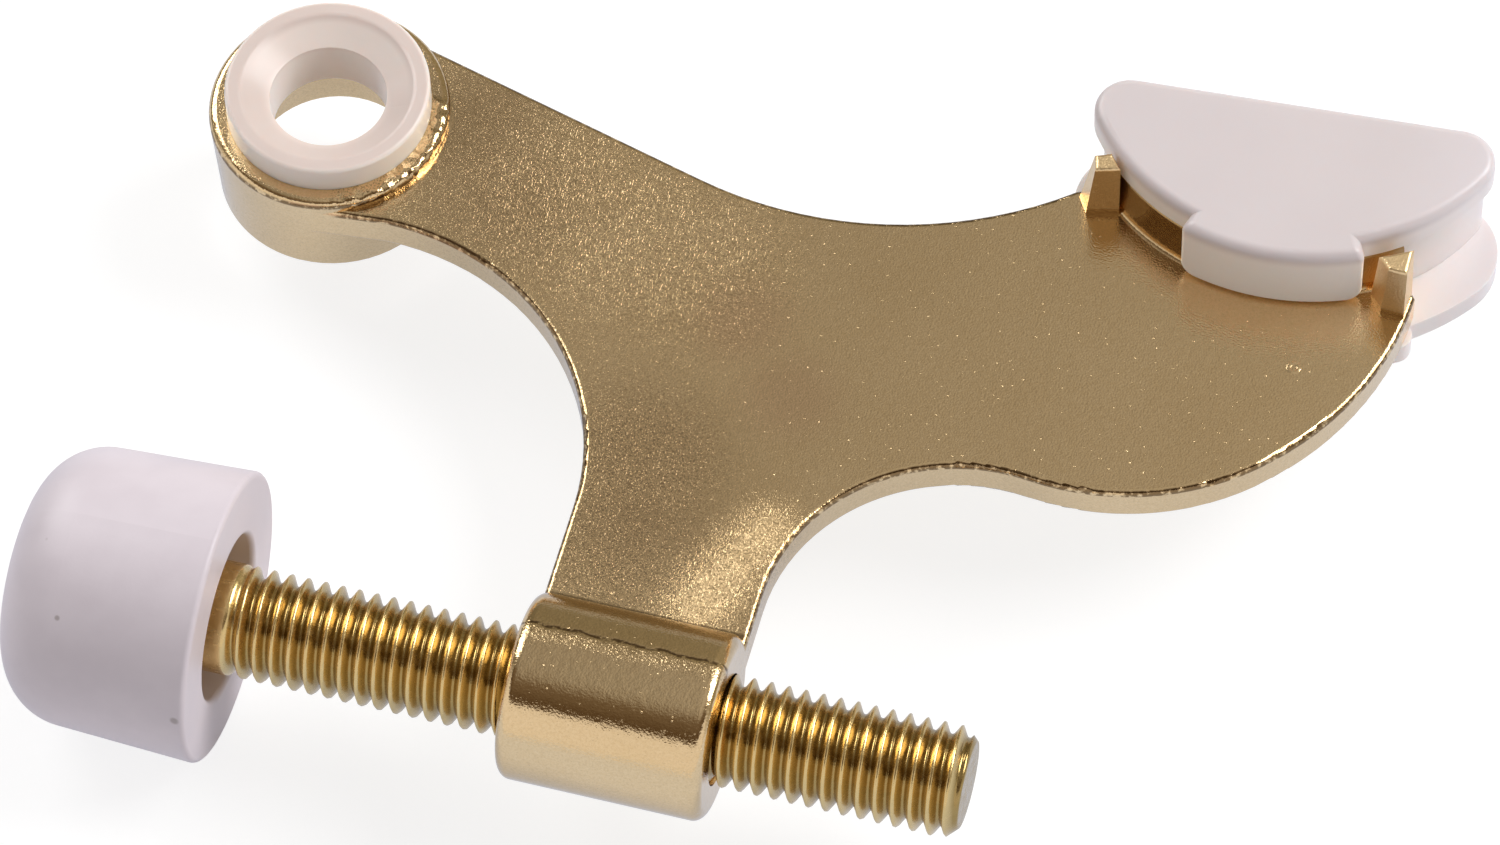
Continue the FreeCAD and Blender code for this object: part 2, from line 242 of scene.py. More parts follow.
floor_z = cad_box[0][2] - FLOOR_GAP
sheet = bpy.data.meshes.new("paper")
corners = [(-FLOOR_HALF, -FLOOR_HALF, floor_z), (FLOOR_HALF, -FLOOR_HALF, floor_z),
           (FLOOR_HALF, FLOOR_HALF, floor_z), (-FLOOR_HALF, FLOOR_HALF, floor_z)]
sheet.from_pydata(corners, [], [(0, 1, 2, 3)])
paper = bpy.data.objects.new("paper", sheet)
bpy.context.scene.collection.objects.link(paper)

white_paper = bpy.data.materials.new("white_paper")
white_paper.use_nodes = True
tree = white_paper.node_tree
tree.nodes.clear()
rays = add(tree, "ShaderNodeLightPath").outputs
mirrored = sums(tree, "MAXIMUM", rays["Is Glossy Ray"], rays["Is Transmission Ray"])
seen = sums(tree, "MAXIMUM", rays["Is Camera Ray"], mirrored)
on_sheet = add(tree, "ShaderNodeTexCoord").outputs["Object"]
depth = add(tree, "ShaderNodeSeparateXYZ", {"Vector": on_sheet}).outputs["Y"]
sheet_front = blended(tree, ramp(tree, depth, *FRONT_FADE), GLOW_NEAR, GLOW_FRONT)
sheet_glow = blended(tree, ramp(tree, depth, *BACK_FADE), sheet_front, GLOW_BACK)
lit = add(tree, "ShaderNodeBsdfDiffuse", {"Color": blended(tree, seen, PAPER_BOUNCE, PAPER_SEEN)})
glow = add(tree, "ShaderNodeEmission", {"Color": blended(tree, mirrored, GLOW_SEEN, sheet_glow),
                                        "Strength": seen})
lit_and_glowing = add(tree, "ShaderNodeAddShader", {0: lit.outputs[0], 1: glow.outputs[0]})
tree.links.new(lit_and_glowing.outputs[0], add(tree, "ShaderNodeOutputMaterial").inputs["Surface"])
sheet.materials.append(white_paper)
print("floor at", round(floor_z / MM, 2), "mm")

# %% [markdown]
# Two soft lamps behind the part.
#
# The rubber tip is brightest on its back and top and shaded towards the camera, and the eye's right rim holds a
# white highlight, so the main lamp is to the right and behind. A weaker one on the left opens the shade.
# Area lamps are used because their size softens the shadow; a point lamp would draw a hard one.

# %% The lamps
LAMP_DISTANCE = 0.8
LAMP_WIDTH = 0.45
RIGHT_WINDOW, RIGHT_WATTS = (0.62, 0.36, 0.70), 4.6
LEFT_WINDOW, LEFT_WATTS = (-0.66, 0.42, 0.62), 2.6


def soft_lamp(name, direction, watts):
    """A square area lamp that looks at the part from that direction."""
    light = bpy.data.lights.new(name, "AREA")
    light.shape = "SQUARE"
    light.size = LAMP_WIDTH
    light.energy = watts
    lamp = bpy.data.objects.new(name, light)
    aim = Vector(direction).normalized()
    lamp.matrix_world = (Matrix.Translation(CAMERA_TARGET + aim * LAMP_DISTANCE)
                         @ aim.to_track_quat("Z", "Y").to_matrix().to_4x4())
    bpy.context.scene.collection.objects.link(lamp)


soft_lamp("window_right", RIGHT_WINDOW, RIGHT_WATTS)
soft_lamp("window_left", LEFT_WINDOW, LEFT_WATTS)
print("lamps of", RIGHT_WATTS, "and", LEFT_WATTS, "watts")

# %% [markdown]
# Bright brass plating on a zinc casting.
#
# The plating is a thin mirror laid over a casting that was tumbled and polished by hand, and each place is worn in
# its own way: the long arm is covered in short nicks, the neck is sandy and rubbed, the rim beside the bush was
# filed, and the lobe by the pad is nearly smooth. A photograph of worn metal could be wrapped on, but it would
# stretch on the barrel. So masks on the part's own coordinates say where each kind of wear sits, and noise gives
# the marks themselves. Principled BSDF at Metallic 1 is the mirror.

# %% Helpers for finishes
def new_finish(name):
    """An empty material with its Principled shader and the part's own coordinates."""
    material = bpy.data.materials.new(name)
    material.use_nodes = True
    tree = material.node_tree
    tree.nodes.clear()
    shader = add(tree, "ShaderNodeBsdfPrincipled")
    output = add(tree, "ShaderNodeOutputMaterial")
    tree.links.new(shader.outputs["BSDF"], output.inputs["Surface"])
    place = add(tree, "ShaderNodeTexCoord").outputs["Object"]
    return material, tree, shader, place


def spots(tree, place, places_mm, core, reach):
    """1 within core mm of any of the points, fading to 0 at reach mm from them."""
    cover = 0.0
    for point in places_mm:
        away = add(tree, "ShaderNodeVectorMath", {0: place, 1: [v * MM for v in point]}, operation="DISTANCE")
        cover = sums(tree, "MAXIMUM", ramp(tree, away.outputs["Value"], reach * MM, core * MM), cover)
    return cover


def at_height(places, z):
    """Points in plan, raised to one height."""
    return [(x, y, z) for x, y in places]


def overlap(tree, first, *others):
    """The product of some masks: 1 only where all of them are."""
    for other in others:
        first = sums(tree, "MULTIPLY", first, other)
    return first


print("finish helpers ready")

# %% Where the casting is worn
PLATE_TOP = 1.5
ARM_NICKS, ARM_REACH = ((19.0, -2.5), (24.0, -4.5), (29.5, -5.5)), (3.0, 11.0)
SANDY_PLACES, SANDY_REACH = ((29.5, -24.0), (30.0, -31.0), (36.0, -33.0)), (2.0, 9.0)
DUSKY_PLACES, DUSKY_REACH = ((11.0, 0.5), (14.0, -4.0), (30.0, -23.0), (30.5, -28.0)), (0.5, 10.0)
NECK_RUB = ((37.4, -33.6), (38.0, -31.8), (38.7, -30.0), (39.5, -28.2), (40.4, -26.6))
NECK_REACH = (0.0, 4.4)
RIM_TOP = 2.5
RIM_FILE = ((7.8, 1.1), (7.8, -1.4), (7.0, -3.7), (5.5, -5.7), (3.7, -7.0))
RIM_REACH = (0.7, 1.7)
LUG_MIDDLE = 5.0
LUGS, LUG_REACH = ((56.6, 6.0), (78.9, 3.0)), (3.4, 4.6)
LUG_RISE = (1.7 * MM, 2.4 * MM)
BARREL_EDGE = (-35.2 * MM, -36.4 * MM)
CROWN_RISE = (4.8 * MM, 5.6 * MM)

plating, tree, shader, place = new_finish("plated_brass")
shader.inputs["Metallic"].default_value = 1.0
axes = add(tree, "ShaderNodeSeparateXYZ", {"Vector": place}).outputs
nicked = spots(tree, place, at_height(ARM_NICKS, PLATE_TOP), *ARM_REACH)
sandy = spots(tree, place, at_height(SANDY_PLACES, PLATE_TOP), *SANDY_REACH)
dusky = spots(tree, place, at_height(DUSKY_PLACES, PLATE_TOP), *DUSKY_REACH)
rubbed = spots(tree, place, at_height(NECK_RUB, PLATE_TOP), *NECK_REACH)
filed = spots(tree, place, at_height(RIM_FILE, RIM_TOP), *RIM_REACH)
near_lugs = spots(tree, place, at_height(LUGS, LUG_MIDDLE), *LUG_REACH)
cast = overlap(tree, near_lugs, ramp(tree, axes["Z"], *LUG_RISE))
on_barrel = ramp(tree, axes["Y"], *BARREL_EDGE)
on_crown = ramp(tree, axes["Z"], *CROWN_RISE)
print("wear masks use", len(tree.nodes), "nodes")

# %% [markdown]
# Painted shade, painted reflections and scars.
#
# The crease beside the barrel gets painted shade. The rounded edges of plate and eye get a painted dark line,
# mostly a painted reflection of the dark part of the room and partly burr. The cradle wall behind the pad gets
# painted shade, and a ragged scar runs along the barrel's crown with a rough band beside it. An Ambient Occlusion
# node could find the creases, but it is noisy and darkens every corner alike. A few heights and distances put the
# painted dark only in these places, and noise makes its edges ragged.

# %% Helpers for marks
def grain(tree, place, size_mm, detail=2.0, stretch=(1.0, 1.0, 1.0), turn=0.0):
    """Noise with features of about size_mm, stretched and turned about Z if asked."""
    spot = add(tree, "ShaderNodeMapping", {"Vector": place, "Rotation": (0.0, 0.0, turn), "Scale": stretch})
    return add(tree, "ShaderNodeTexNoise", {"Vector": spot.outputs[0], "Scale": 1.0 / (size_mm * MM),
                                            "Detail": detail}).outputs["Fac"]


def total(tree, *parts):
    """The sum of value times weight over all parts."""
    answer = 0.0
    for value, weight in parts:
        step = add(tree, "ShaderNodeMath", {0: value, 1: weight, 2: answer}, operation="MULTIPLY_ADD")
        answer = step.outputs[0]
    return answer


def between(tree, value, start, full, fade, end):
    """1 from full to fade (mm), 0 below start and above end."""
    rising = ramp(tree, value, start * MM, full * MM)
    return sums(tree, "MULTIPLY", rising, ramp(tree, value, end * MM, fade * MM))


print("mark helpers ready")

# %% The scar and the crease
SCAR_Y = -40.65 * MM
SCAR_WANDER_MM = 1.6
SCAR_WANDER = 0.9 * MM
SCAR_EDGE = (0.22 * MM, 0.04 * MM)
BAND_START = (0.0, 0.4 * MM)
BAND_END = (1.9 * MM, 0.76 * MM)
CREASE_Y = -35.40 * MM
CREASE_EDGE = (0.42 * MM, 0.12 * MM)
CREASE_RISE = (1.35, 1.5, 2.0, 2.8)
RAGGED_MM, RAGGED_CUT = 0.45, (0.34, 0.52)

ragged = ramp(tree, grain(tree, place, RAGGED_MM, 3.0), *RAGGED_CUT)
wander = grain(tree, place, SCAR_WANDER_MM, 3.0)
past_scar = total(tree, (axes["Y"], -1.0), (wander, SCAR_WANDER), (1.0, SCAR_Y - SCAR_WANDER / 2.0))
at_scar = ramp(tree, sums(tree, "ABSOLUTE", past_scar), *SCAR_EDGE)
scar = overlap(tree, at_scar, on_crown, ragged)
band = overlap(tree, ramp(tree, past_scar, *BAND_START), ramp(tree, past_scar, *BAND_END), on_crown)
from_crease = sums(tree, "ABSOLUTE", sums(tree, "SUBTRACT", axes["Y"], CREASE_Y))
# Painted shade in the crease beside the barrel.
crease = overlap(tree, ramp(tree, from_crease, *CREASE_EDGE), between(tree, axes["Z"], *CREASE_RISE))
print("with scar and crease", len(tree.nodes), "nodes")

# %% Painted dark reflections along the edges, painted shade on the cradle wall
EYE_CENTRE, EYE_REACH = (0.0, 0.0, 0.0), (8.9, 9.1)
PLATE_EDGE_RISE = (1.0, 1.12, 1.45, 1.499)
EYE_EDGE_RISE = (1.75, 1.95, 2.1, 2.3)
# The cradle wall behind the pad gets painted shade.
CRADLE_CENTRE, WALL_REACH = (68.84, 18.73, 0.0), (16.85, 17.0)
WALL_RISE = (1.45, 1.7, 4.9, 5.1)
# A painted dark reflection along the rounded edges, partly burr, by this share.
EDGE_DARK_REFLECTION = 0.95
# Painted shade in the crease, by this share.
CREASE_SHADE_SHARE = 0.8


def off(tree, mask):
    """Where a mask is not."""
    return sums(tree, "SUBTRACT", 1.0, mask)


def in_plan(tree, place):
    """A place with its height dropped."""
    dropped = add(tree, "ShaderNodeVectorMath", {0: place, 1: (1.0, 1.0, 0.0)}, operation="MULTIPLY")
    return dropped.outputs["Vector"]


plan = in_plan(tree, place)
on_eye = spots(tree, plan, (EYE_CENTRE,), *EYE_REACH)
on_plate = overlap(tree, off(tree, on_barrel), off(tree, on_eye))
# Painted dark reflection on the rounded edges of plate and eye, partly burr.
plate_edge = overlap(tree, between(tree, axes["Z"], *PLATE_EDGE_RISE), on_plate, ragged)
eye_edge = overlap(tree, between(tree, axes["Z"], *EYE_EDGE_RISE), on_eye, ragged)
# Where the cradle wall gets painted shade.
wall_painted_shade = overlap(tree, spots(tree, plan, (CRADLE_CENTRE,), *WALL_REACH), between(tree, axes["Z"], *WALL_RISE))
edge_dark_reflections = sums(tree, "MULTIPLY", sums(tree, "MAXIMUM", plate_edge, eye_edge), EDGE_DARK_REFLECTION)
scar_and_crease_shade = sums(tree, "MAXIMUM", scar, sums(tree, "MULTIPLY", crease, CREASE_SHADE_SHARE))
scar_and_painted_dark = sums(tree, "MAXIMUM", scar_and_crease_shade, edge_dark_reflections)
print("with grime", len(tree.nodes), "nodes")

# %% [markdown]
# The plating's skin.
#
# A mirror shows every mark, even those that are hundredths of a millimetre deep: nicks, a sandy grain, hammered
# facets on the filed rim, a few specks and one small dimple in the plate. Cutting them into the mesh would take
# millions of faces, so they are heights in one Bump node. Each kind is a noise or a pattern times its depth at that
# place. Roughness follows the same masks, so that rubbed and cast places are duller.

# %% The plating's skin
SKIN_DEPTH_MM = 0.022
CLOUDS_MM, PEEL_MM, SAND_MM = 9.0, 0.55, 0.15
SPECKS_MM, SPECKS_CUT = 0.22, (0.80, 0.88)
FACETS_MM = 0.8
NICKS_MM, NICKS_CUT = 0.13, (0.54, 0.78)
NICK_TURNS = (((1.0, 0.26, 1.0), 0.55), ((0.26, 1.0, 1.0), 0.35),
              ((1.0, 0.28, 1.0), -0.75), ((0.3, 1.0, 1.0), -0.2))
DIMPLE = (73.1, -4.0, PLATE_TOP)
DIMPLE_R, DIMPLE_EDGE = 0.36 * MM, (0.24 * MM, 0.02 * MM)

clouds = grain(tree, place, CLOUDS_MM, 3.0)
peel = grain(tree, place, PEEL_MM, 1.0)
sand = grain(tree, place, SAND_MM, 2.0)
specks = ramp(tree, grain(tree, place, SPECKS_MM, 0.0), *SPECKS_CUT)
cells = add(tree, "ShaderNodeTexVoronoi", {"Vector": place, "Scale": 1.0 / (FACETS_MM * MM)})
facets = cells.outputs["Distance"]
nicks = 0.0
for stretch, turn in NICK_TURNS:
    scratched = grain(tree, place, NICKS_MM, 0.0, stretch, turn)
    nicks = sums(tree, "MAXIMUM", ramp(tree, scratched, *NICKS_CUT), nicks)
from_dimple = add(tree, "ShaderNodeVectorMath", {0: place, 1: [v * MM for v in DIMPLE]}, operation="DISTANCE")
off_ring = sums(tree, "ABSOLUTE", sums(tree, "SUBTRACT", from_dimple.outputs["Value"], DIMPLE_R))
dimple = ramp(tree, off_ring, *DIMPLE_EDGE)
print("marks made, now", len(tree.nodes), "nodes")

# %% How deep and how dull
def emboss(tree, shader, height, depth_mm):
    """Bump on the shader from a height of 0 to 1."""
    bump = add(tree, "ShaderNodeBump", {"Strength": 1.0, "Distance": depth_mm * MM, "Height": height})
    tree.links.new(bump.outputs["Normal"], shader.inputs["Normal"])


nick_depth = total(tree, (nicked, 0.17), (sandy, 0.10), (rubbed, 0.4), (1.0, 0.03))
sand_depth = total(tree, (sandy, 0.40), (nicked, 0.26), (rubbed, 1.7), (band, 1.3), (cast, 0.9),
                   (on_barrel, -0.2), (1.0, 0.82))
peel_depth = total(tree, (on_barrel, 0.3), (1.0, 0.35))
facet_depth = total(tree, (filed, 7.0))
relief = total(tree, (nicks, nick_depth), (sand, sand_depth), (peel, peel_depth), (specks, 0.6), (dimple, 1.4),
               (facets, facet_depth), (scar, -0.5))
emboss(tree, shader, relief, SKIN_DEPTH_MM)
dull = total(tree, (clouds, 0.06), (nicked, 0.02), (rubbed, 0.20), (band, 0.03), (cast, 0.22), (filed, -0.08),
             (on_barrel, -0.05), (1.0, 0.09))
tree.links.new(dull, shader.inputs["Roughness"])
print("skin with", len(tree.nodes), "nodes")

# %% [markdown]
# The plating's colour.
#
# For a metal, Base Color is the tint of what it mirrors. One flat tint would look like gold paint, because real
# plating is flecked and ruddy where it is thin, and its pits are given painted shade. Mix nodes lay those tints
# over each other, from the clean brass up to the scar, the painted shade and the painted dark lines, with the masks
# from the cells before as their factors.

# %% The plating's colour
BRASS_DARK = (0.80, 0.565, 0.290)
BRASS_LIGHT = (0.95, 0.715, 0.415)
BRASS_RUDDY = (0.78, 0.525, 0.300)
BRASS_DUSK_AND_PIT_SHADE = (0.50, 0.350, 0.185)
BRASS_SCAR_AND_SHADE = (0.24, 0.15, 0.07)
BRASS_PAINTED_SHADE = (0.33, 0.19, 0.06)
RUDDY_PLACES, RUDDY_REACH = ((38.9, -15.2), (34.0, -10.0)), (1.0, 5.5)
RUDDY_SHARE, DUSKY_SHARE, WALL_SHADE_SHARE = 0.55, 0.58, 0.8
FLECKS_MM = 0.20
PITS_MM, PITS_CUT = 0.14, (0.52, 0.34)

flecks = grain(tree, place, FLECKS_MM, 3.0)
fleck = total(tree, (flecks, 0.9), (clouds, 0.6), (nicks, 0.15), (1.0, -0.30))
brass = blended(tree, fleck, BRASS_DARK, BRASS_LIGHT)
ruddy = spots(tree, place, at_height(RUDDY_PLACES, PLATE_TOP), *RUDDY_REACH)
scuffed = blended(tree, sums(tree, "MULTIPLY", ruddy, RUDDY_SHARE), brass, BRASS_RUDDY)
dulled = blended(tree, sums(tree, "MULTIPLY", dusky, DUSKY_SHARE), scuffed, BRASS_DUSK_AND_PIT_SHADE)
# Painted shade: small dark pits stand for the shadows in the pits.
pits = ramp(tree, grain(tree, place, PITS_MM, 1.0), *PITS_CUT)
pit_shade_share = total(tree, (sandy, 0.6), (dusky, 0.3), (nicked, 0.35), (rubbed, 0.6), (band, 0.5), (filed, 0.9),
               (1.0, 0.16))
pit_shaded = blended(tree, sums(tree, "MULTIPLY", pits, pit_shade_share, clamp=True), dulled, BRASS_DUSK_AND_PIT_SHADE)
# Painted shade on the cradle wall behind the pad.
wall_shaded = blended(tree, sums(tree, "MULTIPLY", wall_painted_shade, WALL_SHADE_SHARE), pit_shaded, BRASS_PAINTED_SHADE)
# The scar is a real mark; the crease gets painted shade and the edges a painted dark reflection.
tree.links.new(blended(tree, scar_and_painted_dark, wall_shaded, BRASS_SCAR_AND_SHADE), shader.inputs["Base Color"])
nodes["stop_body"].data.materials[0] = plating
print("plating with", len(tree.nodes), "nodes")

# %% [markdown]
# Yellow plating on the screw.
#
# The screw was plated in another bath, so it is a deeper yellow than the casting. The bottom of the thread is
# darker than its worn crests. That could be painted by hand, but the distance from the screw's own axis tells crest
# from root exactly, so a ramp on that distance does it.

# %% The screw's finish
SCREW_Y = -42.07 * MM
SCREW_CREST_R = 4.0 * MM
SCREW_ROOT_R = 3.24 * MM
SCREW_DARK = (0.38, 0.250, 0.082)
SCREW_LIGHT = (0.82, 0.600, 0.270)
STREAKS_MM, STREAKS_STRETCH, STREAKS_CUT = 0.5, (0.35, 1.0, 1.0), (0.3, 0.7)
SCREW_ROUGHNESS = (0.17, 0.30)
SCREW_GRAIN_MM, SCREW_DEPTH_MM = 0.18, 0.008

screw_gold, tree, shader, place = new_finish("yellow_brass")
shader.inputs["Metallic"].default_value = 1.0
from_axis = add(tree, "ShaderNodeMapping", {"Vector": place, "Location": (0.0, -SCREW_Y, 0.0),
                                            "Scale": (0.0, 1.0, 1.0)})
radius = add(tree, "ShaderNodeVectorMath", {0: from_axis.outputs[0]}, operation="LENGTH").outputs["Value"]
crest = ramp(tree, radius, SCREW_ROOT_R, SCREW_CREST_R)
streaks = grain(tree, place, STREAKS_MM, 3.0, STREAKS_STRETCH)
bright = total(tree, (crest, 0.8), (streaks, 0.35))
tree.links.new(blended(tree, bright, SCREW_DARK, SCREW_LIGHT), shader.inputs["Base Color"])
tree.links.new(ramp(tree, streaks, *STREAKS_CUT, *SCREW_ROUGHNESS), shader.inputs["Roughness"])
emboss(tree, shader, grain(tree, place, SCREW_GRAIN_MM), SCREW_DEPTH_MM)
print("screw finish with", len(tree.nodes), "nodes")

# %% [markdown]
# The screw's thread.
#
# The thread is M8 coarse: a ridge with sides at 60 degrees to the axis that climbs 1.25 mm a turn. The solid has
# it too, with sharp corners, but a rolled thread is rounded at its root and its crests catch the light softly.
# A Screw modifier can sweep a profile, but it leaves a helix with open ends. Here a flat grid is rolled up by
# Geometry Nodes: one way along the grid walks from the head's centre over its rim, down the shank and across
# the free end, the other way goes round. The radius at each point comes from how far the point is from the
# nearest crest, so ridge, head, chamfer and end are one closed skin of even squares.

# %% The thread tree
CREST_FLAT = 0.10
ROOT_ROUND = 0.12 * MM
FLANK_SLOPE = math.radians(60.0)
SEAM = 0.002 * MM


def thread_tree():
    """A node group that rolls a grid into a headed screw along X."""
    tree = bpy.data.node_groups.new("rolled_thread", "GeometryNodeTree")
    sockets = {}
    lengths = ("Pitch", "Crest Radius", "Root Radius", "Crest At", "Head Radius", "Head Start", "Head End",
               "Free End", "End Radius", "Thread Start", "Thread Full", "Axis Y")
    kinds = {**dict.fromkeys(lengths, "Float"), "Rows": "Int", "Columns": "Int", "Finish": "Material"}
    for name, kind in kinds.items():
        socket = tree.interface.new_socket(name, in_out="INPUT", socket_type="NodeSocket" + kind)
        sockets[name] = socket.identifier
    tree.interface.new_socket("Screw", in_out="OUTPUT", socket_type="NodeSocketGeometry")
    given = add(tree, "NodeGroupInput").outputs

    grid = add(tree, "GeometryNodeMeshGrid", {"Size X": 1.0, "Size Y": 1.0, "Vertices X": given["Rows"],
                                              "Vertices Y": given["Columns"]})
    across = add(tree, "ShaderNodeSeparateXYZ", {0: add(tree, "GeometryNodeInputPosition").outputs[0]}).outputs
    thick = sums(tree, "SUBTRACT", given["Head End"], given["Head Start"])
    neck = sums(tree, "SUBTRACT", sums(tree, "ADD", sums(tree, "MULTIPLY", given["Head Radius"], 2.0), thick),
                given["Crest Radius"])
    shank = sums(tree, "SUBTRACT", given["Free End"], given["Head End"])
    whole = sums(tree, "ADD", sums(tree, "ADD", neck, shank), given["End Radius"])
    walked = sums(tree, "MULTIPLY", sums(tree, "ADD", across["X"], 0.5), whole)
    angle = sums(tree, "MULTIPLY", across["Y"], 2.0 * math.pi)

    over_rim = sums(tree, "MINIMUM", sums(tree, "MAXIMUM",
                                          sums(tree, "SUBTRACT", walked, given["Head Radius"]), 0.0), thick)
    past_neck = sums(tree, "SUBTRACT", walked, neck)
    along = sums(tree, "ADD", sums(tree, "ADD", given["Head Start"], over_rim),
                 sums(tree, "MAXIMUM", past_neck, 0.0))
    place_x = sums(tree, "MINIMUM", along, given["Free End"])

    turns = sums(tree, "SUBTRACT", sums(tree, "DIVIDE", sums(tree, "SUBTRACT", place_x, given["Crest At"]),
                                        given["Pitch"]), sums(tree, "DIVIDE", angle, 2.0 * math.pi))
    off_crest = sums(tree, "PINGPONG", turns, 0.5)
    past_flat = sums(tree, "MAXIMUM", sums(tree, "SUBTRACT", off_crest, CREST_FLAT / 2.0), 0.0)
    flank = sums(tree, "MULTIPLY", past_flat, sums(tree, "MULTIPLY", given["Pitch"], math.tan(FLANK_SLOPE)))
    ridge = add(tree, "ShaderNodeMath", {0: sums(tree, "SUBTRACT", given["Crest Radius"], flank),
                                         1: given["Root Radius"], 2: ROOT_ROUND}, operation="SMOOTH_MAX").outputs[0]
    chamfer = sums(tree, "ADD", sums(tree, "SUBTRACT", given["Free End"], along), given["End Radius"])
    cut = ramp(tree, place_x, given["Thread Start"], given["Thread Full"])
    shank_r = add(tree, "ShaderNodeMix", {"Factor": cut, "A": given["Crest Radius"], "B": ridge}).outputs["Result"]
    threaded = sums(tree, "MINIMUM", shank_r, chamfer)
    headed = sums(tree, "MINIMUM", sums(tree, "MINIMUM", walked, given["Head Radius"]),
                  sums(tree, "SUBTRACT", given["Crest Radius"], past_neck))
    radius = add(tree, "ShaderNodeMix", {"Factor": sums(tree, "GREATER_THAN", past_neck, 0.0),
                                         "A": headed, "B": threaded}).outputs["Result"]

    rolled = add(tree, "ShaderNodeCombineXYZ", {
        "X": place_x,
        "Y": sums(tree, "ADD", given["Axis Y"], sums(tree, "MULTIPLY", radius, sums(tree, "COSINE", angle))),
        "Z": sums(tree, "MULTIPLY", radius, sums(tree, "SINE", angle))})
    placed = add(tree, "GeometryNodeSetPosition", {"Geometry": grid.outputs["Mesh"], "Position": rolled.outputs[0]})
    outward = add(tree, "GeometryNodeFlipFaces", {"Mesh": placed.outputs[0]})
    closed = add(tree, "GeometryNodeMergeByDistance", {"Geometry": outward.outputs[0], "Distance": SEAM})
    smooth = add(tree, "GeometryNodeSetShadeSmooth", {"Geometry": closed.outputs[0], "Shade Smooth": True})
    real = add(tree, "GeometryNodeRealizeInstances", {"Geometry": smooth.outputs[0]})
    finished = add(tree, "GeometryNodeSetMaterial", {"Geometry": real.outputs[0], "Material": given["Finish"]})
    tree.links.new(finished.outputs[0], add(tree, "NodeGroupOutput").inputs["Screw"])
    return tree, sockets


rolled_thread, thread_sockets = thread_tree()
print("thread tree with", len(rolled_thread.nodes), "nodes")

# %% Roll the screw
ROUND_STEPS = 72
ROW_STEP = 0.12 * MM
PITCH = 1.25 * MM
SILHOUETTE_CREST = 7.64 * MM
SILHOUETTE_TURN = math.radians(30.7)
THREAD_START = 5.6 * MM
THREAD_FULL = 6.6 * MM
HEAD_R = 7.5 * MM
HEAD_T = 3.0 * MM
END_R = 3.1 * MM
low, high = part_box("adjusting_screw")
head_end = low[0] + HEAD_T

walk = 2.0 * HEAD_R + HEAD_T - SCREW_CREST_R + (high[0] - head_end) + END_R
sizes = {"Pitch": PITCH, "Crest Radius": SCREW_CREST_R, "Root Radius": SCREW_ROOT_R,
         "Crest At": SILHOUETTE_CREST - PITCH * SILHOUETTE_TURN / (2.0 * math.pi),
         "Head Radius": HEAD_R, "Head Start": low[0], "Head End": head_end, "Free End": high[0],
         "End Radius": END_R, "Thread Start": THREAD_START, "Thread Full": THREAD_FULL, "Axis Y": SCREW_Y,
         "Rows": int(walk / ROW_STEP), "Columns": ROUND_STEPS + 1, "Finish": screw_gold}


def from_tree(name, tree, sockets, sizes):
    """A plain mesh object made by a Geometry Nodes tree with those sizes."""
    piece = bpy.data.objects.new(name, bpy.data.meshes.new(name))
    bpy.context.scene.collection.objects.link(piece)
    maker = piece.modifiers.new("maker", "NODES")
    maker.node_group = tree
    for label, value in sizes.items():
        maker[sockets[label]] = value
    depsgraph = bpy.context.evaluated_depsgraph_get()
    made = bpy.data.meshes.new_from_object(piece.evaluated_get(depsgraph))
    piece.modifiers.remove(maker)
    piece.data = made
    return piece


threaded_screw = from_tree("threaded_screw", rolled_thread, thread_sockets, sizes)
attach(threaded_screw, "screw")
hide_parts("adjusting_screw")
print("screw with", len(threaded_screw.data.polygons), "faces")

# %% [markdown]
# White rubber.
#
# The tip is white, slightly lilac and softly shiny, and it has picked up a few specks of dirt. A flat white would
# look like paint, so faint mottling goes into colour and roughness, a fine grain into the bump, and the specks
# are small dark spots placed by their distance from points on the skin.

# %% The rubber
RUBBER_SHADE = (0.745, 0.670, 0.718)
RUBBER_LIGHT = (0.785, 0.710, 0.758)
RUBBER_DIRT = (0.30, 0.24, 0.22)
TIP_SPECKS, SPECK_REACH = ((-6.7, -44.24, 9.28), (-4.7, -49.03, 7.31)), (0.10, 0.26)
TIP_STAIN, STAIN_REACH = ((4.43, -52.3, 2.43),), (0.16, 0.42)
DIRT_SHARE = 0.6
MOTTLE_MM, MOTTLE_CUT = 4.0, (0.3, 0.7)
RUBBER_ROUGHNESS = (0.36, 0.46)
RUBBER_GRAIN_MM, RUBBER_DEPTH_MM = 0.25, 0.0036

white_rubber, tree, shader, place = new_finish("white_rubber_skin")
mottle = grain(tree, place, MOTTLE_MM, 3.0)
bloom = blended(tree, ramp(tree, mottle, *MOTTLE_CUT), RUBBER_SHADE, RUBBER_LIGHT)
specks = spots(tree, place, TIP_SPECKS, *SPECK_REACH)
stain = spots(tree, place, TIP_STAIN, *STAIN_REACH)
dirt = sums(tree, "MULTIPLY", sums(tree, "MAXIMUM", specks, stain), DIRT_SHARE)
tree.links.new(blended(tree, dirt, bloom, RUBBER_DIRT), shader.inputs["Base Color"])
tree.links.new(ramp(tree, mottle, *MOTTLE_CUT, *RUBBER_ROUGHNESS), shader.inputs["Roughness"])
emboss(tree, shader, grain(tree, place, RUBBER_GRAIN_MM), RUBBER_DEPTH_MM)
nodes["rubber_tip"].data.materials[0] = white_rubber
print("rubber with", len(tree.nodes), "nodes")

